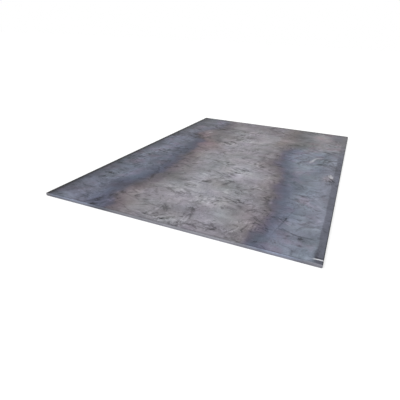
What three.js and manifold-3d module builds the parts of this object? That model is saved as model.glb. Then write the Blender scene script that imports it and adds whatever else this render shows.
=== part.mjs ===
// A hot-rolled steel plate, cut to length from mill-edge strip and lying flat.
//
// Millimetres, +Z up, with the origin in the middle of the underside. X runs across the plate. Y runs along it,
// which is the way it was rolled. The two long sides are mill edges: the rolls never touched them, so the steel
// spread into a round nose there, and each face falls away a little on its way to them. The two short sides are
// sheared. A shear draws the arris that its blade meets down into a roll-over, cuts a smooth upright band, and
// then the steel tears, which leaves a rough face that leans back and a burr at its foot.

import * as THREE from "three";
import { mergeVertices } from "three/addons/utils/BufferGeometryUtils.js";
import Module from "manifold-3d";

// The plate as it is sold.
const plateWidth = 2000; // across the rolling direction, over both noses
const plateLength = 3000; // along the rolling direction, over both sheared ends
const plateThickness = 25; // between the flat faces

// The rolled section, the same all along the plate.
const edgeDropReach = 50; // width of the strip along a mill edge where a face falls away
const edgeDropDepth = 0.4; // how far a face has fallen where the nose begins
const noseReach = 8; // how far the nose stands out past the faces
const noseFullness = 2.6; // exponent of the nose's superellipse: 2 is an ellipse, and more is squarer

// The sheared section, the same all along an end.
const rollOverReach = 5; // how far in from the end the roll-over begins
const rollOverDepth = 1.8; // how far down it draws the arris
const cleanCutHeight = 9; // height of the smooth upright band
const tearSetback = 1.1; // how far the torn face has leaned back where the burr begins
const burrHeight = 1; // height of the burr on the plate's face side
const burrReach = 0.5; // how far the burr hooks out from the torn face

// How finely the curves are divided.
const edgeDropSteps = 6;
const noseSteps = 14;
const endCurveSteps = 8;

const halfWidth = plateWidth / 2;
const halfLength = plateLength / 2;
const halfThickness = plateThickness / 2;

const wasm = await Module();
wasm.setup();

// A quarter of the rolled section, from where the face starts to fall out to the tip of the nose. Heights are
// taken from the middle of the thickness.
function rolledQuarter() {
  const fallStart = halfWidth - edgeDropReach;
  const noseStart = halfWidth - noseReach;
  const noseHalfHeight = halfThickness - edgeDropDepth;
  const points = [];
  for (let step = 0; step <= edgeDropSteps; step++) {
    const share = step / edgeDropSteps;
    const across = THREE.MathUtils.lerp(fallStart, noseStart, share);
    points.push(new THREE.Vector2(across, halfThickness - edgeDropDepth * share ** 2));
  }
  for (let step = 1; step <= noseSteps; step++) {
    const angle = (Math.PI / 2) * (1 - step / noseSteps);
    const across = noseStart + noseReach * Math.cos(angle) ** (2 / noseFullness);
    points.push(new THREE.Vector2(across, noseHalfHeight * Math.sin(angle) ** (2 / noseFullness)));
  }
  return points;
}

// The whole rolled section, seen along the plate: the quarter turned round its four corners.
function rolledSection() {
  const outward = rolledQuarter();
  const inward = outward.slice(0, -1).reverse();
  const corner = (points, side, level) =>
    points.map((point) => new THREE.Vector2(side * point.x, halfThickness + level * point.y));
  return new THREE.Shape([
    ...corner(outward, 1, -1),
    ...corner(inward, 1, 1),
    ...corner(outward, -1, 1),
    ...corner(inward, -1, -1),
  ]);
}

// The front end seen from the side, from the top face down to the underside.
function shearedEnd() {
  const cleanCutTop = plateThickness - rollOverDepth;
  const tearTop = cleanCutTop - cleanCutHeight;
  const tearFoot = -halfLength + tearSetback;
  const outline = new THREE.Path();
  outline.absellipse(
    -halfLength + rollOverReach, cleanCutTop, rollOverReach, rollOverDepth, Math.PI / 2, Math.PI,
  );
  outline.lineTo(-halfLength, tearTop);
  outline.quadraticCurveTo(-halfLength, (tearTop + burrHeight) / 2, tearFoot, burrHeight);
  outline.lineTo(tearFoot - burrReach, 0);
  return outline.getPoints(endCurveSteps);
}

// The whole sheared section, seen across the plate. The far end was the near side of the cut before, so it has
// the same outline turned upside down: its roll-over is below and its burr above.
function shearedSection() {
  const front = shearedEnd();
  const back = front.map((point) => new THREE.Vector2(-point.x, plateThickness - point.y));
  return new THREE.Shape([...front, ...back]);
}

// A section drawn in the plane of two axes, drawn out along the third and centred on it.
function drawOut(section, depth, acrossAxis, upAxis, alongAxis) {
  const geometry = new THREE.ExtrudeGeometry(section, { depth, bevelEnabled: false });
  geometry.translate(0, 0, -depth / 2);
  geometry.applyMatrix4(new THREE.Matrix4().makeBasis(acrossAxis, upAxis, alongAxis));
  return geometry;
}

function toSolid(geometry) {
  geometry.deleteAttribute("normal");
  geometry.deleteAttribute("uv");
  const merged = mergeVertices(geometry);
  const vertProperties = merged.attributes.position.array;
  const triVerts = new Uint32Array(merged.index.array);
  return new wasm.Manifold(new wasm.Mesh({ numProp: 3, vertProperties, triVerts }));
}

function toGeometry(solid) {
  const { vertProperties, triVerts } = solid.getMesh();
  const shared = new THREE.BufferGeometry();
  shared.setAttribute("position", new THREE.BufferAttribute(vertProperties, 3));
  shared.setIndex(new THREE.BufferAttribute(triVerts, 1));
  const faceted = shared.toNonIndexed();
  faceted.computeVertexNormals();
  return faceted;
}

// The strip as it comes from the rolls, twice as long as the plate that is cut from it.
function rolledStrip() {
  const right = new THREE.Vector3(1, 0, 0);
  const up = new THREE.Vector3(0, 0, 1);
  const front = new THREE.Vector3(0, -1, 0);
  return toSolid(drawOut(rolledSection(), 2 * plateLength, right, up, front));
}

// What the two cuts of the shear keep, twice as wide as the strip that they go through.
function shearedBlank() {
  const back = new THREE.Vector3(0, 1, 0);
  const up = new THREE.Vector3(0, 0, 1);
  const right = new THREE.Vector3(1, 0, 0);
  return toSolid(drawOut(shearedSection(), 2 * plateWidth, back, up, right));
}

// Mill scale over bare steel: a dull blue-grey with a low metal shine.
function millScale() {
  return new THREE.MeshStandardMaterial({ color: 0x7d7f86, roughness: 0.6, metalness: 0.5 });
}

function steelPlate() {
  const mesh = new THREE.Mesh(toGeometry(rolledStrip().intersect(shearedBlank())), millScale());
  mesh.name = "steel_plate";
  return mesh;
}

const plate = new THREE.Group();
plate.name = "plate";
plate.add(steelPlate());

export default plate;
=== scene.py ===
import math

import bpy
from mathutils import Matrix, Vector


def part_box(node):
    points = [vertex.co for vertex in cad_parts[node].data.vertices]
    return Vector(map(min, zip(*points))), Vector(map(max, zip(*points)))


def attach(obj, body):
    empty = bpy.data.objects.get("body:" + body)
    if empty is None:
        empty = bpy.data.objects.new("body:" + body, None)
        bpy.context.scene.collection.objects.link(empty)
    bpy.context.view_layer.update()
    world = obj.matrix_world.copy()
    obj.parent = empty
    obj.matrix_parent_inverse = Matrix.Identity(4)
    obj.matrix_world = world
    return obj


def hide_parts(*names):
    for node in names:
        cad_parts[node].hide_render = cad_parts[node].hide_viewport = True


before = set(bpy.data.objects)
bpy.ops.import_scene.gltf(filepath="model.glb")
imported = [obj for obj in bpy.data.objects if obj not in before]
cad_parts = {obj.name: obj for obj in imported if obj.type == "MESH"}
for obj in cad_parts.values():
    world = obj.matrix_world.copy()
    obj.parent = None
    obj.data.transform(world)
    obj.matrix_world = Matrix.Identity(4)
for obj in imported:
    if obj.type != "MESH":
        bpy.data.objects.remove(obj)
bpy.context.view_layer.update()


# ---- The bare plate -------------------------------------------------------------------------------------
# One piece of hot-rolled steel, cut to length from strip. Its long sides are mill edges, left round where the
# rolls let the steel spread. Its short sides are sheared: a roll-over, a smooth cut band, a torn band and a
# burr, the right way up at the front and upside down at the back, as one stroke of the shear leaves them.

mm = 0.001
plate_low, plate_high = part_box("steel_plate")
plate_width, plate_length, plate_thickness = plate_high - plate_low
half_width, half_length, half_thickness = plate_width / 2, plate_length / 2, plate_thickness / 2

edge_drop_reach = 50 * mm
edge_drop_depth = 0.4 * mm
nose_reach = 8 * mm
nose_fullness = 2.6
nose_half_height = half_thickness - edge_drop_depth

roll_over_reach = 5 * mm
roll_over_depth = 1.8 * mm
clean_cut_height = 9 * mm
cut_top = plate_thickness - roll_over_depth
tear_top = cut_top - clean_cut_height
tear_setback = 1.1 * mm
burr_height = 1 * mm
burr_reach = 0.5 * mm


def side_inset(height):
    """How far in from the plate's width the mill edge lies at a height."""
    from_middle = abs(height - half_thickness)
    if from_middle > nose_half_height:
        share = math.sqrt(max(0, half_thickness - from_middle) / edge_drop_depth)
        return edge_drop_reach + share * (nose_reach - edge_drop_reach)
    rise = (from_middle / nose_half_height) ** nose_fullness
    return nose_reach * (1 - (1 - rise) ** (1 / nose_fullness))


def front_inset(height):
    """How far in from the plate's length the front sheared end lies at a height."""
    if height >= cut_top:
        rise = (height - cut_top) / roll_over_depth
        return roll_over_reach * (1 - math.sqrt(max(0, 1 - rise**2)))
    if height >= tear_top:
        return 0
    if height >= burr_height:
        return tear_setback * ((tear_top - height) / (tear_top - burr_height)) ** 2
    return tear_setback - burr_reach * (1 - height / burr_height)


def back_inset(height):
    """The same at the back end, where the shear's stroke came out on top."""
    return front_inset(plate_thickness - height)


def station_heights():
    """Heights of the level lines that the plate's edge is built on, closest together where it bends."""
    drop_steps, nose_steps, least_gap = 5, 10, 0.01 * mm
    upper = [plate_thickness - edge_drop_depth * (step / drop_steps) ** 2 for step in range(drop_steps + 1)]
    for step in range(1, nose_steps + 1):
        angle = math.pi / 2 * (1 - step / nose_steps)
        upper.append(half_thickness + nose_half_height * math.sin(angle) ** (2 / nose_fullness))
    upper += [cut_top, tear_top, burr_height]
    heights = []
    for height in sorted(upper + [plate_thickness - height for height in upper]):
        if not heights or height - heights[-1] > least_gap:
            heights.append(height)
    return heights


def plate_stations():
    """The upright line that the edge is swept from: one vertex a station, with its insets as attributes."""
    heights = station_heights()
    line = bpy.data.meshes.new("plate_stations")
    line.from_pydata([(0, 0, height) for height in heights], [], [])
    for inset_at in (side_inset, front_inset, back_inset):
        insets = line.attributes.new(inset_at.__name__, "FLOAT", "POINT")
        insets.data.foreach_set("value", [inset_at(height) for height in heights])
    stations = bpy.data.objects.new("plate_stations", line)
    bpy.context.scene.collection.objects.link(stations)
    return stations


class Wire:
    """One output of a node. It adds, subtracts, multiplies and divides as a number does."""

    def __init__(self, bench, socket):
        self.bench = bench
        self.socket = socket

    def __add__(self, other):
        return self.bench.math("ADD", self, other)

    def __sub__(self, other):
        return self.bench.math("SUBTRACT", self, other)

    def __rsub__(self, other):
        return self.bench.math("SUBTRACT", other, self)

    def __mul__(self, other):
        return self.bench.math("MULTIPLY", self, other)

    def __truediv__(self, other):
        return self.bench.math("DIVIDE", self, other)

    __radd__ = __add__
    __rmul__ = __mul__


class Bench:
    """A node tree in the making. What a node is given may be a number, a vector, a colour or a Wire."""

    def __init__(self, tree):
        self.tree = tree

    def add(self, kind, given=None, out=0, **settings):
        node = self.tree.nodes.new(kind)
        for name, value in settings.items():
            setattr(node, name, value)
        for place, value in (given or {}).items():
            if isinstance(value, Wire):
                self.tree.links.new(value.socket, node.inputs[place])
            else:
                node.inputs[place].default_value = value
        return Wire(self, node.outputs[out])

    def math(self, operation, first, second=0.0, clamp=False):
        return self.add("ShaderNodeMath", {0: first, 1: second}, operation=operation, use_clamp=clamp)

    def split(self, vector):
        return [self.add("ShaderNodeSeparateXYZ", {0: vector}, out=axis) for axis in range(3)]

    def join(self, x, y, z):
        return self.add("ShaderNodeCombineXYZ", {0: x, 1: y, 2: z})

    def vector(self, operation, first, second=(0.0, 0.0, 0.0)):
        return self.add("ShaderNodeVectorMath", {0: first, 1: second}, operation=operation)

    def scaled(self, vector, factor):
        return self.add("ShaderNodeVectorMath", {0: vector, "Scale": factor}, operation="SCALE")

    def noise(self, place, per_metre, detail=2.0, roughness=0.5, given=None, **settings):
        wanted = {"Vector": place, "Scale": per_metre, "Detail": detail, "Roughness": roughness}
        wanted.update(given or {})
        return self.add("ShaderNodeTexNoise", wanted, **settings)

    def step(self, value, low, high, to_low=0.0, to_high=1.0, way="SMOOTHSTEP"):
        given = {"Value": value, 1: low, 2: high, 3: to_low, 4: to_high}
        return self.add("ShaderNodeMapRange", given, interpolation_type=way)

    def together(self, *geometries):
        node = self.tree.nodes.new("GeometryNodeJoinGeometry")
        for geometry in geometries:
            self.tree.links.new(geometry.socket, node.inputs[0])
        return Wire(self, node.outputs[0])


def sweeping_tree(name, inputs):
    """Sweeps the stations round the plate's outline, closes both faces, then waves and tears the steel."""
    tree = bpy.data.node_groups.new(name, "GeometryNodeTree")
    tree.interface.new_socket("Stations", in_out="INPUT", socket_type="NodeSocketGeometry")
    for title, (kind, _) in inputs.items():
        tree.interface.new_socket(title, in_out="INPUT", socket_type="NodeSocket" + kind)
    tree.interface.new_socket("Plate", in_out="OUTPUT", socket_type="NodeSocketGeometry")
    bench = Bench(tree)
    entry = tree.nodes.new("NodeGroupInput")
    size = {socket.name: Wire(bench, socket) for socket in entry.outputs if socket.name}
    thickness = size["Thickness"]

    def place():
        return bench.add("GeometryNodeInputPosition")

    # The band round the edge: a column for each point of the outline, a row for each station.
    rows = bench.add("GeometryNodeAttributeDomainSize", {0: size["Stations"]})
    flat = bench.add("GeometryNodeMeshGrid", {0: 1.0, 1: 1.0, 2: size["Columns"] + 1, 3: rows})
    across, up, _ = bench.split(place())
    row = bench.math("ROUND", (up + 0.5) * (rows - 1))

    def at_station(value, kind="FLOAT"):
        given = {"Geometry": size["Stations"], "Value": value, "Index": row}
        return bench.add("GeometryNodeSampleIndex", given, data_type=kind)

    def inset(title):
        return at_station(bench.add("GeometryNodeInputNamedAttribute", {"Name": title}, data_type="FLOAT"))

    rise = bench.split(at_station(place(), "FLOAT_VECTOR"))[2]
    sides = {"Width": size["Width"], "Height": size["Length"]}
    outline = bench.add("GeometryNodeCurvePrimitiveQuadrilateral", sides)
    given = {"Curves": outline, "Factor": bench.math("FRACT", across + 0.5)}
    out_x, out_y, _ = bench.split(bench.add("GeometryNodeSampleCurve", given, out="Position", mode="FACTOR"))
    x = out_x * (1 - inset("side_inset") * 2 / size["Width"])
    ends = {
        "Switch": bench.math("GREATER_THAN", out_y, 0.0),
        "False": inset("front_inset"),
        "True": inset("back_inset"),
    }
    y = out_y * (1 - bench.add("GeometryNodeSwitch", ends, input_type="FLOAT") * 2 / size["Length"])
    band = bench.add("GeometryNodeSetPosition", {"Geometry": flat, "Position": bench.join(x, y, rise)})
    band = bench.add("GeometryNodeMergeByDistance", {"Geometry": band, "Distance": 1e-6})

    # The upper face inside the topmost line: a grid, and a strip that joins it to the band.
    at_top = bench.math("GREATER_THAN", bench.split(place())[2], thickness - 1e-6)
    rim = bench.add("GeometryNodeMeshToCurve", {"Mesh": band, "Selection": at_top})
    rim_box = {"Geometry": rim, "Use Radius": False}
    low = bench.add("GeometryNodeBoundBox", rim_box, out="Min")
    high = bench.add("GeometryNodeBoundBox", rim_box, out="Max")
    span_x, span_y, _ = bench.split(bench.vector("SUBTRACT", high, low))
    cell = size["Face cell"]
    cells = {
        0: span_x - cell,
        1: span_y - cell,
        2: bench.math("FLOOR", span_x / cell),
        3: bench.math("FLOOR", span_y / cell),
    }
    face = bench.add("GeometryNodeMeshGrid", cells)
    middle = bench.scaled(bench.vector("ADD", high, low), 0.5)
    face = bench.add("GeometryNodeTransform", {"Geometry": face, "Translation": middle})
    neighbours = bench.add("GeometryNodeInputMeshEdgeNeighbors")
    open_edge = bench.add("FunctionNodeCompare", {2: neighbours, 3: 1}, data_type="INT", operation="EQUAL")
    inner_rim = bench.add("GeometryNodeMeshToCurve", {"Mesh": face, "Selection": open_edge})
    strip = bench.add("GeometryNodeFillCurve", {0: bench.together(rim, inner_rim)})
    lift = bench.join(0.0, 0.0, thickness)
    strip = bench.add("GeometryNodeTransform", {"Geometry": strip, "Translation": lift})
    upper_face = bench.together(face, strip)

    # The lower face is the upper one turned over, because the two ends are sheared upside down to each other.
    turned = {"Geometry": upper_face, "Translation": lift, "Rotation": (math.pi, 0.0, 0.0)}
    lower_face = bench.add("GeometryNodeTransform", turned)
    whole = bench.together(band, upper_face, lower_face)
    plate = bench.add("GeometryNodeMergeByDistance", {"Geometry": whole, "Distance": 2e-6})

    # Out of true: a long wave in the upper face, a ripple in the mill edges, and a torn band that is rough.
    def uneven(spot, per_metre, detail):
        given = {"W": size["Seed"]}
        return bench.noise(spot, per_metre, detail, 0.55, noise_dimensions="4D", given=given)

    spot = place()
    x, y, z = bench.split(spot)
    wave = size["Wave"] * uneven(spot, 1.1, 1.0) * z / thickness
    from_side = size["Width"] / 2 - bench.math("ABSOLUTE", x)
    along_edge = bench.join(bench.math("SIGN", x), y, z)
    near_side = bench.step(from_side, size["Edge drop reach"], 0.0)
    ripple = size["Mill ripple"] * uneven(along_edge, 9.0, 3.0) * near_side * bench.math("SIGN", x)
    from_end = size["Length"] / 2 - bench.math("ABSOLUTE", y)
    at_back = bench.math("GREATER_THAN", y, 0.0)
    in_stroke = z + at_back * (thickness - 2 * z)
    torn = bench.step(in_stroke, size["Tear top"], 0.7 * size["Tear top"])
    torn = torn * bench.step(from_end, 3 * size["Tear setback"], size["Tear setback"])
    tear = size["Tear"] * uneven(bench.join(x, in_stroke * 4, at_back * 3), 45.0, 2.0) * torn
    shift = bench.join(0 - ripple, 0 - tear * bench.math("SIGN", y), 0 - wave)
    plate = bench.add("GeometryNodeSetPosition", {"Geometry": plate, "Offset": shift})
    creased = bench.add("GeometryNodeInputMeshEdgeAngle")
    soft = bench.math("LESS_THAN", creased, size["Sharpest smooth bend"])
    plate = bench.add("GeometryNodeSetShadeSmooth", {"Geometry": plate, "Shade Smooth": True}, domain="FACE")
    plate = bench.add("GeometryNodeSetShadeSmooth", {"Geometry": plate, "Shade Smooth": soft}, domain="EDGE")

    plate = bench.add("GeometryNodeRealizeInstances", {"Geometry": plate})
    plate = bench.add("GeometryNodeSetMaterial", {"Geometry": plate, "Material": size["Scaled face"]})
    faces_end = bench.math("ABSOLUTE", bench.split(bench.add("GeometryNodeInputNormal"))[1])
    cut = {
        "Geometry": plate,
        "Selection": bench.math("GREATER_THAN", faces_end, 0.6),
        "Material": size["Sheared face"],
    }
    plate = bench.add("GeometryNodeSetMaterial", cut)

    leave = tree.nodes.new("NodeGroupOutput")
    tree.links.new(plate.socket, leave.inputs[0])
    return tree


def grown(base, name, tree, inputs):
    """The plain mesh object that a geometry tree makes from a base object, which is then thrown away."""
    growing = base.modifiers.new(name, "NODES")
    growing.node_group = tree
    for item in tree.interface.items_tree:
        if item.name in inputs:
            _, value = inputs[item.name]
            growing[item.identifier] = value
    depsgraph = bpy.context.evaluated_depsgraph_get()
    mesh = bpy.data.meshes.new_from_object(base.evaluated_get(depsgraph), depsgraph=depsgraph)
    mesh.name = name
    bpy.data.objects.remove(base)
    piece = bpy.data.objects.new(name, mesh)
    bpy.context.scene.collection.objects.link(piece)
    return piece


def paint(red, green, blue, cover=1.0):
    """A colour as the eye has it, 0 to 255 a channel, turned into the light that a shader works in."""
    seen = [channel / 255 for channel in (red, green, blue)]
    return [part / 12.92 if part < 0.04045 else ((part + 0.055) / 1.055) ** 2.4 for part in seen] + [cover]


class Finish(Bench):
    """The shader of one finish: its layers of colour, its roughness and its relief."""

    def __init__(self, name):
        self.material = bpy.data.materials.new(name)
        self.material.use_nodes = True
        super().__init__(self.material.node_tree)
        self.tree.nodes.clear()
        self.place = self.add("ShaderNodeTexCoord", out="Object")
        self.x, self.y, self.z = self.split(self.place)

    def over(self, under, coat, amount):
        """A coat laid over a colour, by an amount from 0 to 1."""
        return self.add("ShaderNodeMix", {0: amount, 6: under, 7: coat}, out=2, data_type="RGBA")

    def largest(self, first, second):
        return self.math("MAXIMUM", first, second)

    def far_from(self, value, centre):
        return self.math("ABSOLUTE", value - centre)

    def read_off(self, value, points):
        """What a smooth curve through the points, each (value, reading), gives for a value."""
        starts = [start for start, reading in points]
        readings = [reading for start, reading in points]
        least, most = min(readings), max(readings)
        along = self.step(value, starts[0], starts[-1], way="LINEAR")
        curve = self.add("ShaderNodeFloatCurve", {0: 1.0, 1: along})
        mapping = curve.socket.node.mapping
        line = mapping.curves[0].points
        for start, reading in points[1:-1]:
            line.new((start - starts[0]) / (starts[-1] - starts[0]), (reading - least) / (most - least))
        line[0].location = (0.0, (readings[0] - least) / (most - least))
        line[len(line) - 1].location = (1.0, (readings[-1] - least) / (most - least))
        mapping.update()
        return curve * (most - least) + least

    def blend(self, value, stops):
        """A colour and how well it covers, read off stops: each a value and a paint."""
        starts = [start for start, coat in stops]
        along = self.step(value, starts[0], starts[-1], way="LINEAR")
        ramp = self.add("ShaderNodeValToRGB", {0: along})
        elements = ramp.socket.node.color_ramp.elements
        while len(elements) < len(stops):
            elements.new(0.5)
        for element, (start, coat) in zip(elements, stops):
            element.position = (start - starts[0]) / (starts[-1] - starts[0])
            element.color = coat
        return ramp, Wire(self, ramp.socket.node.outputs["Alpha"])

    def swirled(self, spot, per_metre, reach):
        """A spot drawn aside by a slow swirl, so that marks laid on it curl."""
        noise = self.noise(spot, per_metre, 2.0)
        drift = self.vector("SUBTRACT", Wire(self, noise.socket.node.outputs["Color"]), (0.5, 0.5, 0.5))
        return self.vector("ADD", spot, self.scaled(drift, reach))

    def elsewhere(self, far):
        """The pattern's place moved aside, so that one layer's marks don't follow another's."""
        return self.vector("ADD", self.pattern, (far, 0.0, 0.0))

    def mark(self, x, y, length, breadth, turn, streaked=0.0):
        """An oval on the upper face, its long way turned from across the plate: 1 inside, 0 outside.

        Streaks along it fray its outline.
        """
        spot = {
            "Vector": self.place,
            "Location": (x, y, plate_thickness),
            "Rotation": (0.0, 0.0, math.radians(turn)),
            "Scale": (length / 2, breadth / 2, plate_thickness / 2),
        }
        spot = self.add("ShaderNodeMapping", spot, vector_type="TEXTURE")
        from_middle = self.add("ShaderNodeVectorMath", {0: spot}, out="Value", operation="LENGTH")
        if streaked:
            along = self.vector("ADD", self.vector("MULTIPLY", spot, (1.2, 2.5, 0.0)), (7 * x, 7 * y, 0.0))
            from_middle = from_middle + (self.noise(along, 1.0, 3.0) - 0.5) * (2 * streaked)
        return 1 - self.step(from_middle, 0.4, 1.3)

    def marks(self, rows, streaked=0.0):
        """Several marks together. A row has a mark's x, y, length, breadth, turn in degrees and strength."""
        laid = []
        for x, y, length, breadth, turn, strength in rows:
            laid.append(self.mark(x, y, length, breadth, turn, streaked) * strength)
        return sum(laid)

    def close(self, colour, roughness, relief, relief_height, **fixed):
        given = {"Base Color": colour, "Roughness": roughness}
        given["Normal"] = self.add("ShaderNodeBump", {"Height": relief, "Distance": relief_height})
        given.update({name.replace("_", " "): value for name, value in fixed.items()})
        shader = self.add("ShaderNodeBsdfPrincipled", given)
        output = self.tree.nodes.new("ShaderNodeOutputMaterial")
        self.tree.links.new(shader.socket, output.inputs["Surface"])
        return self.material


def heat_clouds(scale):
    """Where the heat lay unevenly: clouds in the tint, paler above 0 and darker below."""
    return scale.marks([
        (-0.46, -1.28, 0.45, 0.20, 90, 0.20),
        (0.50, -1.12, 0.60, 0.24, 90, 0.20),
        (0.71, 1.21, 0.50, 0.22, 90, 0.20),
        (-0.80, 0.80, 0.60, 0.24, 90, 0.24),
        (-0.80, -0.20, 0.36, 0.22, 80, 0.28),
        (0.38, 0.84, 0.45, 0.22, 90, 0.12),
        (0.04, 0.58, 0.40, 0.24, 110, 0.18),
        (0.15, -0.34, 0.34, 0.26, 60, 0.26),
        (0.40, -0.50, 0.36, 0.22, 100, 0.20),
        (-0.08, -1.02, 0.36, 0.24, 70, 0.20),
        (0.79, 0.76, 0.45, 0.20, 90, 0.20),
        (0.75, -0.90, 0.50, 0.24, 90, 0.14),
        (0.76, -1.32, 0.44, 0.30, 90, 0.08),
        (0.92, -1.15, 0.70, 0.07, 90, 0.12),
        (-0.60, 0.15, 0.45, 0.14, 95, -0.20),
        (-0.80, -0.66, 0.80, 0.40, 90, -0.13),
        (-0.84, 1.22, 0.80, 0.34, 90, -0.16),
        (-0.94, 1.36, 0.36, 0.16, 90, -0.22),
        (-0.44, 0.72, 0.86, 0.34, 95, -0.34),
        (-0.32, -0.80, 0.26, 0.20, 60, -0.24),
        (-0.15, -0.40, 0.30, 0.22, 120, -0.14),
        (0.30, -0.80, 0.26, 0.18, 80, -0.18),
        (0.37, 1.30, 0.44, 0.30, 90, -0.24),
        (0.57, -0.28, 0.56, 0.10, 90, -0.12),
        (0.76, -0.22, 0.32, 0.26, 70, -0.18),
        (0.92, 1.24, 0.50, 0.18, 90, -0.26),
        (0.92, 0.50, 0.40, 0.14, 90, -0.18),
        (0.91, -0.34, 0.70, 0.14, 90, -0.10),
        (0.80, 1.46, 0.60, 0.14, 0, -0.16),
        (0.89, -1.02, 0.22, 0.12, 90, -0.13),
        (0.89, -1.42, 0.22, 0.13, 0, -0.13),
    ])


def temper_colours(scale):
    """The heat's own colours: warm grey along the middle, brown where it ends, then violet, then blue."""
    x, y = scale.x, scale.y
    # Where the two blue borders begin, in metres from the middle, for places along the plate.
    left_line = scale.read_off(y, [
        (-1.5, -0.48), (-1.35, -0.52), (-1.2, -0.56), (-0.9, -0.51), (-0.7, -0.47), (-0.4, -0.48),
        (-0.1, -0.53), (0.2, -0.53), (0.5, -0.67), (0.75, -0.74), (0.95, -0.62), (1.1, -0.57), (1.5, -0.74),
    ])
    right_line = scale.read_off(y, [
        (-1.5, 0.55), (-1.25, 0.59), (-0.95, 0.60), (-0.7, 0.57), (-0.4, 0.55), (-0.1, 0.475), (0.1, 0.41),
        (0.4, 0.40), (0.6, 0.46), (0.9, 0.50), (1.5, 0.48),
    ])
    # How deep a place lies in each border, which its line enters and leaves unevenly.
    wobble = (scale.noise(scale.pattern, 4.5, 4.0, 0.58) - 0.5) * 0.22
    left_depth = left_line - x + wobble
    right_depth = x - right_line + wobble
    colour, _ = scale.blend(y, [
        (-1.5, paint(139, 137, 144)), (-0.9, paint(147, 146, 152)), (-0.3, paint(146, 145, 151)),
        (0.3, paint(144, 141, 147)), (0.8, paint(137, 134, 139)), (1.1, paint(129, 126, 131)),
        (1.5, paint(120, 116, 122)),
    ])
    violet, violet_cover = scale.blend(left_depth, [
        (-0.28, paint(139, 137, 143, 0)), (-0.17, paint(126, 125, 128, 0.9)), (-0.09, paint(105, 101, 108)),
        (-0.04, paint(94, 91, 98)), (0.01, paint(80, 81, 96)), (0.06, paint(82, 88, 105)),
        (0.12, paint(93, 99, 115)), (0.20, paint(105, 110, 125)), (0.30, paint(110, 115, 130)),
    ])
    brown, brown_cover = scale.blend(left_depth, [
        (-0.38, paint(137, 133, 138, 0)), (-0.26, paint(131, 125, 129, 0.9)), (-0.17, paint(128, 118, 121)),
        (-0.09, paint(121, 109, 113)), (-0.04, paint(102, 91, 97)), (0.0, paint(80, 77, 91)),
        (0.06, paint(84, 87, 103)), (0.14, paint(98, 101, 115)), (0.30, paint(108, 111, 125)),
    ])
    # How far the brown fringe shows beside the left border, along the plate.
    browned = scale.read_off(y, [
        (-1.5, 0.4), (-1.2, 0.5), (-0.9, 0.1), (-0.4, 0.3), (0.0, 0.5), (0.25, 1.0), (0.6, 1.0),
        (0.8, 0.5), (1.0, 0.2), (1.5, 0.2),
    ])
    colour = scale.over(colour, violet, violet_cover)
    colour = scale.over(colour, brown, brown_cover * browned)
    blue, blue_cover = scale.blend(right_depth, [
        (-0.30, paint(139, 137, 143, 0)), (-0.20, paint(132, 129, 135, 0.9)), (-0.12, paint(125, 121, 126)),
        (-0.05, paint(109, 104, 109)), (0.0, paint(93, 89, 103)), (0.05, paint(90, 95, 111)),
        (0.10, paint(104, 110, 126)), (0.18, paint(119, 125, 138)), (0.27, paint(123, 129, 142)),
        (0.40, paint(114, 121, 133)),
    ])
    dull, dull_cover = scale.blend(right_depth, [
        (-0.30, paint(135, 132, 137, 0)), (-0.22, paint(127, 120, 122, 0.9)), (-0.14, paint(119, 113, 113)),
        (-0.06, paint(108, 103, 106)), (0.02, paint(101, 100, 103)), (0.10, paint(108, 110, 115)),
        (0.18, paint(124, 124, 129)), (0.26, paint(134, 133, 138)), (0.34, paint(125, 124, 130)),
    ])
    far_back = scale.step(y + wobble, 0.50, 0.80)
    colour = scale.over(colour, blue, blue_cover)
    colour = scale.over(colour, dull, dull_cover * far_back)
    # Both borders grey off towards the back, and the right one has a pink patch there.
    deepest = scale.largest(left_depth, right_depth)
    greyed = scale.step(deepest, -0.15, 0.05) * scale.step(y, 0.3, 1.1)
    colour = scale.over(colour, paint(114, 114, 119), greyed * 0.5)
    pink = scale.mark(0.70, 1.20, 0.50, 0.24, 95, streaked=0.6)
    colour = scale.over(colour, paint(150, 140, 140), pink * 0.3)
    colour = scale.scaled(colour, 1 + heat_clouds(scale))
    # The blue borders have mauve patches, and everywhere the tint wanders a little in hue.
    mauve = scale.step(scale.noise(scale.elsewhere(19), 7.0, 4.0), 0.50, 0.64)
    mauve = mauve * scale.step(deepest, 0.02, 0.12)
    colour = scale.over(colour, scale.vector("MULTIPLY", colour, (1.09, 0.96, 0.98)), mauve)
    hue = scale.noise(scale.pattern, 5.0, 4.0)
    hue = scale.scaled(Wire(scale, hue.socket.node.outputs["Color"]), 0.16)
    return scale.vector("MULTIPLY", colour, scale.vector("ADD", hue, (0.92, 0.92, 0.92)))


def strokes(scale, far, turns, length, breadth, sparse):
    """Smeared strokes that lie three ways and are drawn into curves: the dark ones, and the light ones.

    Length and breadth are about one stroke's own. The higher sparse is, the fewer there are.
    """
    spot = scale.swirled(scale.swirled(scale.elsewhere(far), 4.0, 0.14), 60.0, 0.3 * breadth)
    lying = scale.noise(scale.elsewhere(far + 3), 6.0, 3.0)
    lying = scale.split(Wire(scale, lying.socket.node.outputs["Color"]))
    dark, lit = 0, 0
    for here, turn in zip(lying, turns):
        turned = {"Vector": spot, "Angle": math.radians(turn)}
        turned = scale.add("ShaderNodeVectorRotate", turned, rotation_type="Z_AXIS")
        stretched = scale.vector("MULTIPLY", turned, (0.5 / length, 0.5 / breadth, turn))
        stroke = (scale.noise(stretched, 1.0, 2.0) - 0.5) * scale.step(here, 0.44, 0.60)
        dark = scale.step(stroke, sparse, sparse + 0.03) + dark
        lit = scale.step(stroke, -sparse, -sparse - 0.03) + lit
    return dark, lit


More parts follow.
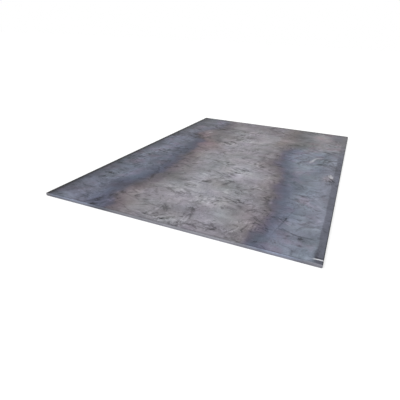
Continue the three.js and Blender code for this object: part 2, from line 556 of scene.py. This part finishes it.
def curls(scale, far, per_metre, levels, breadth):
    """Curved dark lines of uneven breadth, here and there along the level lines of an uneven noise."""
    spot = scale.vector("MULTIPLY", scale.swirled(scale.elsewhere(far), 6.0, 0.03), (0.6, 1.0, 1.0))
    height = scale.noise(spot, per_metre, 1.0, 0.4) * levels
    off_line = scale.far_from(scale.math("FRACT", height), 0.5)
    pressed = scale.noise(scale.elsewhere(far + 2), per_metre * 2.5, 2.0)
    broad = scale.step(pressed, 0.46, 0.66, 0.0, breadth * levels * per_metre)
    return 1 - scale.step(off_line / scale.largest(broad, 0.001), 0.2, 1.0)


def rolled_in(scale):
    """The tone of the rolled surface: clouds, mottle, rubbed flecks, smudges and curled strokes."""
    noise, step = scale.noise, scale.step

    def curled(far, per_metre, reach):
        return scale.swirled(scale.elsewhere(far), per_metre, reach)

    clouds = noise(scale.pattern, 1.6, 2.0) - 0.5
    mottle = noise(curled(3, 9.0, 0.05), 5.0, 4.0, 0.65) - 0.5
    patches = step(noise(curled(41, 7.0, 0.10), 6.0, 3.0, 0.5), 0.46, 0.54) - 0.5
    busy = step(noise(scale.elsewhere(5), 3.0, 2.0), 0.40, 0.58, 0.35, 1.0)
    smudge = step(noise(curled(11, 9.0, 0.08), 12.0, 3.0), 0.58, 0.66) * busy
    fleck = step(noise(curled(17, 9.0, 0.08), 17.0, 3.0), 0.60, 0.66)
    broad_dark, broad_lit = strokes(scale, 61, (-22, 40, -80), 170 * mm, 48 * mm, 0.07)
    dark, lit = strokes(scale, 73, (5, 35, -60), 110 * mm, 24 * mm, 0.075)
    fine_dark, fine_lit = strokes(scale, 101, (-35, 20, -85), 90 * mm, 12 * mm, 0.085)
    lines = curls(scale, 83, 3.0, 8.0, 5 * mm)
    grain = noise(scale.pattern, 110.0, 3.0, 0.6) - 0.5
    marks = clouds * 0.3 + mottle * 1.5 + patches * 0.10 + grain * 0.6
    marks = marks - smudge * 0.16 + fleck * 0.12 - lines * 0.25
    marks = marks - (broad_dark * 0.10 + dark * 0.29 + fine_dark * 0.34) * busy
    marks = marks + (broad_lit * 0.07 + lit * 0.19 + fine_lit * 0.22) * busy
    # How strongly they all show: more at the back and at the left, less at the right, and unevenly besides.
    contrast = 1 + step(scale.y, -0.2, 0.9) * 0.06
    contrast = contrast + step(scale.x, -0.4, -0.7) * 0.15 - step(scale.x, 0.4, 0.7) * 0.26
    contrast = contrast + scale.marks([
        (0.13, -1.02, 1.00, 0.42, 80, 0.32),
        (0.68, -1.38, 0.70, 0.38, 0, 0.46),
        (0.88, 0.15, 1.50, 0.26, 90, 0.30),
        (-0.25, 0.10, 0.70, 0.40, 90, 0.24),
        (0.48, -0.95, 0.50, 0.26, 90, 0.26),
        (-0.23, -1.24, 0.50, 0.40, 90, -0.32),
    ])
    relief = grain * 0.3 + mottle * 2 - smudge * 0.5 - dark * 0.5
    return 1 + marks * contrast, mottle, grain, relief


def handling_marks(scale):
    """Where the plate was slung, dragged and knocked: rubbed dark or scoured bright, on its upper face. Near
    the front right corner it also holds a painted glint, a near-white line for light caught on a raised
    sliver that the mesh doesn't have, and two painted shadows of that sliver beside it.
    """
    rubbed = scale.marks([
        (-0.09, -1.30, 0.090, 0.060, 125, 0.30),
        (0.14, -0.69, 0.120, 0.045, 62, 0.38),
        (-0.04, -0.73, 0.090, 0.045, 55, 0.40),
        (0.30, -1.43, 0.080, 0.024, -8, 0.45),
        (-0.48, -0.84, 0.130, 0.030, 108, 0.35),
        (0.84, -1.29, 0.040, 0.034, 40, 0.45),
        (0.85, -1.37, 0.034, 0.024, 0, 0.50),
        (0.26, -1.12, 0.044, 0.024, 128, 0.50),
        (-0.27, 0.20, 0.090, 0.050, 40, 0.35),
        (-0.35, 0.97, 0.120, 0.050, 20, 0.35),
        (0.17, 1.19, 0.130, 0.060, 10, 0.30),
        (0.703, -1.12, 0.430, 0.013, 80, 0.24),
        (0.692, -1.11, 0.170, 0.013, 133, 0.30),
        (0.954, -1.405, 0.120, 0.034, 90, 0.30),
        # Painted shadow: the next two rows are not rubbed marks but the dark lines on either side of the
        # glinting sliver at the front right corner.
        (0.972, -1.443, 0.064, 0.018, 5, 0.45),
        (0.962, -1.482, 0.090, 0.026, 4, 0.45),
        (0.92, -0.26, 0.130, 0.060, 85, 0.36),
        (0.932, -0.17, 0.170, 0.018, -62, 0.60),
        (0.80, 0.19, 0.100, 0.060, 40, 0.36),
        (0.80, 0.46, 0.080, 0.060, 30, 0.32),
    ], streaked=1.4)
    # The scuff on the right has a dark scratch across it, which is the row below 0.
    scrapes_and_glint = scale.marks([
        (0.922, -0.112, 0.110, 0.040, 98, 0.40),
        (0.914, -0.150, 0.080, 0.016, -62, -0.40),
        (0.715, 0.28, 0.170, 0.028, 75, 0.36),
        (0.755, 0.38, 0.110, 0.028, 45, 0.24),
        (-0.61, 0.76, 0.070, 0.026, 60, 0.32),
        # Painted glint: a near-white line across the right strip, for light caught on a raised sliver that
        # the mesh doesn't have.
        (0.973, -1.460, 0.072, 0.010, 5, 1.3),
    ], streaked=1.4)
    return rubbed, scrapes_and_glint


def side_borders(scale, colour, tone):
    """The left border darkens towards its mill edge. The right one has a rubbed line, then a darker strip,
    which is a painted darker reflection where the edge drop slopes the face away.
    """
    step, noise, over = scale.step, scale.noise, scale.over
    x, y = scale.x, scale.y
    tone = tone * (1 - 0.46 * step(x, -0.80, -0.98))
    line_x, line_half, line_end = 0.92, 10 * mm, 40 * mm
    worn = 1 - step(scale.far_from(x, line_x), line_half, line_end)
    worn = worn * step(noise(scale.elsewhere(31), 9.0, 3.0), 0.45, 0.6)
    tone = tone * (1 + worn * step(y, -0.6, -1.1, 0.06, 0.16))
    # The blue is dull beside the strip, though not near either end.
    dulled = step(x, 0.80, 0.90) * step(y, -1.3, -0.9) * step(y, 0.8, 0.4)
    colour = over(colour, paint(122, 123, 135), dulled * 0.6)
    # Painted reflection: the strip along the right edge is darkened as the sloping edge drop would reflect
    # darker surroundings, since the mesh's edge drop is too shallow to show it.
    ragged = (noise(scale.pattern, 14.0, 4.0, 0.6) - 0.5) * 32 * mm
    strip = step(x + ragged + 6 * mm * step(y, -1.1, -0.2), 0.945, 0.957)
    at_back = step(y, 0.3, 1.2)
    colour = over(colour, paint(106, 105, 109), strip * at_back * 0.8)
    colour = over(colour, paint(98, 100, 112), strip * (1 - at_back) * 0.95)
    tone = tone * (1 + strip * (noise(scale.elsewhere(53), 11.0, 4.0, 0.6) - 0.5) * 0.5)
    # The scuff has warmed the steel round it.
    warmed = scale.mark(0.90, -0.16, 0.20, 0.10, 80, streaked=0.6)
    return over(colour, paint(141, 131, 136), warmed * 0.40), tone


def painted_rim_shade(scale, colour, tone):
    """Painted shade: a dark line along the roll-over in front, a dark band along the back end beside its
    upturned burr, and dark over the round mill edges, which turn away from the light.
    """
    step, noise = scale.step, scale.noise
    x, y = scale.x, scale.y
    roll_over_shade = step(y, 14 * mm - half_length, 4 * mm - half_length)
    roll_over_shade = roll_over_shade * step(noise(scale.elsewhere(37), 7.0, 3.0), 0.3, 0.6)
    burr_shade = step(y, half_length - 60 * mm, half_length - 20 * mm)
    burr_shade = burr_shade * step(noise(scale.elsewhere(41), 5.0, 3.0), 0.2, 0.5)
    tone = tone * (1 - 0.35 * roll_over_shade) * (1 - 0.42 * burr_shade)
    right_edge_shade = step(x, half_width - 9 * mm, half_width - 2 * mm)
    left_edge_shade = step(x, 60 * mm - half_width, 18 * mm - half_width)
    return scale.over(colour, paint(46, 45, 49), scale.largest(right_edge_shade, left_edge_shade) * 0.9), tone


def mill_scale():
    """Blue-black oxide, grown thickest and greyest where the plate cooled slowest, along its middle."""
    scale = Finish("mill_scale")
    upper = scale.step(scale.z, 0.4 * plate_thickness, 0.6 * plate_thickness)
    # The lower face takes its pattern from elsewhere, so that it isn't the upper one seen through the steel.
    scale.pattern = scale.vector("ADD", scale.place, scale.join(0.0, (1 - upper) * 9, 0.0))
    colour = temper_colours(scale)
    tone, mottle, grain, relief = rolled_in(scale)
    rubbed, scrapes_and_glint = handling_marks(scale)
    # Besides real rubbed marks, rubbed holds the two painted shadows beside the glint.
    colour, tone = side_borders(scale, colour, tone - rubbed)
    # Painted shade along the plate's rims.
    colour, tone = painted_rim_shade(scale, colour, tone)
    least_tone = 0.2
    colour = scale.scaled(colour, scale.largest(tone, least_tone))
    # Bare steel where the scale is scoured off, and near the front right corner a painted glint.
    colour = scale.over(colour, paint(226, 227, 231), scrapes_and_glint)
    roughness = 0.6 + mottle * 0.3 + grain * 0.2
    return scale.close(colour, roughness, relief, 0.5 * mm, Metallic=0.3, Specular_IOR_Level=0.15)


def sheared_steel():
    """Bare steel at the cut ends: burnished where the blade sheared it, dull and grainy where it tore."""
    steel = Finish("sheared_steel")
    x, y, z = steel.x, steel.y, steel.z
    noise, over, step = steel.noise, steel.over, steel.step
    at_back = steel.math("GREATER_THAN", y, 0.0)
    in_stroke = z + at_back * (plate_thickness - 2 * z)
    ragged = (noise(steel.place, 30.0, 3.0) - 0.5) * 6 * mm
    torn = step(in_stroke + ragged, tear_top + 1 * mm, tear_top - 1 * mm)
    # The cut is tinted as the faces are: bluer towards the sides and grey again at the corners.
    blued = step(steel.far_from(x, 0.06), 0.42, 0.60)
    cut = over(paint(152, 152, 160), paint(144, 151, 172), blued)
    cut = over(cut, paint(146, 144, 148), step(x, 60 * mm - half_width, 25 * mm - half_width))
    cut = over(cut, paint(148, 148, 158), step(x, 0.84, 0.94))
    # How light it is along the end: darkest at the left, where the blue begins.
    lightness = steel.read_off(x, [
        (-1.0, 0.84), (-0.92, 0.64), (-0.82, 0.78), (-0.70, 0.86), (-0.60, 0.66), (-0.50, 0.48),
        (-0.42, 0.64), (-0.30, 0.86), (-0.10, 0.88), (0.10, 0.98), (0.42, 1.05), (0.56, 0.80),
        (0.70, 0.92), (0.80, 1.05), (0.88, 0.78), (1.0, 0.86),
    ])
    colour = over(cut, paint(138, 138, 146), torn * 0.7)
    grain = noise(steel.place, 250.0, 3.0) - 0.5
    lines = noise(steel.vector("MULTIPLY", steel.place, (12.0, 12.0, 500.0)), 1.0, 3.0) - 0.5
    scores = noise(steel.vector("MULTIPLY", steel.place, (160.0, 1.0, 14.0)), 1.0, 3.0) - 0.5
    patches = noise(steel.place, 9.0, 3.0) - 0.5
    tone = 1 + grain * 0.4 + lines * 0.9 + scores * (1 - torn) * 0.5 + patches * 0.5
    colour = steel.scaled(colour, tone * lightness)
    # Scale that the blade drew down over the edge still holds along the middle.
    drawn = step(in_stroke, cut_top - 6 * mm, cut_top - 1 * mm)
    drawn = drawn * step(steel.far_from(x, 0.0), 0.62, 0.45) * step(noise(steel.place, 7.0, 3.0), 0.36, 0.52)
    colour = over(colour, paint(84, 84, 92), drawn * 0.7)
    relief = grain * (0.3 + torn) + lines + scores
    return steel.close(colour, 0.5 + torn * 0.2, relief, 0.2 * mm, Metallic=0.5, Specular_IOR_Level=0.3)


# What the tree is given: each input's kind and its value.
plate_inputs = {
    "Width": ("Float", plate_width),
    "Length": ("Float", plate_length),
    "Thickness": ("Float", plate_thickness),
    "Columns": ("Int", 1500),
    "Face cell": ("Float", 20 * mm),
    "Wave": ("Float", 0.5 * mm),
    "Mill ripple": ("Float", 0.6 * mm),
    "Tear": ("Float", 0.5 * mm),
    "Edge drop reach": ("Float", edge_drop_reach),
    "Tear top": ("Float", tear_top),
    "Tear setback": ("Float", tear_setback),
    "Sharpest smooth bend": ("Float", math.radians(35)),
    "Seed": ("Float", 4.0),
    "Scaled face": ("Material", mill_scale()),
    "Sheared face": ("Material", sheared_steel()),
}
plate = grown(plate_stations(), "rolled_plate", sweeping_tree("sweep_the_plate", plate_inputs), plate_inputs)
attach(plate, "root")
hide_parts("steel_plate")


# ---- The studio -----------------------------------------------------------------------------------------
# A plain white floor that runs out of sight, a white surround and one soft lamp from the front left. The
# floor shows white by itself, and keeps the plate's shadow.

white = (1.0, 1.0, 1.0, 1.0)
floor_reach = 60.0
paper_white, seen_white, seen_glow = 0.6, 0.4, 0.7

floor_mesh = bpy.data.meshes.new("floor")
corners = [(floor_reach * side, floor_reach * end, 0) for side, end in ((-1, -1), (1, -1), (1, 1), (-1, 1))]
floor_mesh.from_pydata(corners, [], [(0, 1, 2, 3)])
floor = bpy.data.objects.new("floor", floor_mesh)
bpy.context.scene.collection.objects.link(floor)


def seen_straight(bench):
    """1 for a ray from the camera, a mirror or a glass, and 0 for one that lights the plate."""
    kinds = ("Is Camera Ray", "Is Glossy Ray", "Is Transmission Ray")
    direct, mirrored, through = [bench.add("ShaderNodeLightPath", out=kind) for kind in kinds]
    return bench.math("ADD", direct + mirrored, through, clamp=True)


paper = bpy.data.materials.new("floor_paper")
paper.use_nodes = True
paper.node_tree.nodes.clear()
paper_bench = Bench(paper.node_tree)
straight = seen_straight(paper_bench)
thrown_back = paper_white - (paper_white - seen_white) * straight
dull = paper_bench.add("ShaderNodeBsdfDiffuse", {"Color": thrown_back})
glow = paper_bench.add("ShaderNodeEmission", {"Color": white, "Strength": straight * seen_glow})
both = paper_bench.add("ShaderNodeAddShader", {0: dull, 1: glow})
paper_out = paper.node_tree.nodes.new("ShaderNodeOutputMaterial")
paper.node_tree.links.new(both.socket, paper_out.inputs["Surface"])
floor_mesh.materials.append(paper)

surround = bpy.data.worlds.new("surround")
surround.use_nodes = True
surround.node_tree.nodes.clear()
air = Bench(surround.node_tree)
room_light = 0.55
strength = seen_straight(air) * (1 - room_light) + room_light
sky = air.add("ShaderNodeBackground", {"Color": white, "Strength": strength})
surround_out = surround.node_tree.nodes.new("ShaderNodeOutputWorld")
surround.node_tree.links.new(sky.socket, surround_out.inputs["Surface"])
bpy.context.scene.world = surround

key = bpy.data.lights.new("key", "SUN")
key.energy = 2.1
key.angle = math.radians(40)
key_lamp = bpy.data.objects.new("key", key)
key_lamp.rotation_euler = (math.radians(48), 0, math.radians(-37))
bpy.context.scene.collection.objects.link(key_lamp)

camera = bpy.data.cameras.new("camera")
camera.sensor_width = 36
camera.lens = 30.28
camera.shift_x = -0.0196
camera.clip_end = 300
view = bpy.data.objects.new("camera", camera)
view.location = (0.966, -3.138, 1.124)
view.rotation_euler = [math.radians(turn) for turn in (63.94, -2.32, 23.14)]
bpy.context.scene.collection.objects.link(view)
bpy.context.scene.camera = view
bpy.context.scene.view_settings.view_transform = "Standard"
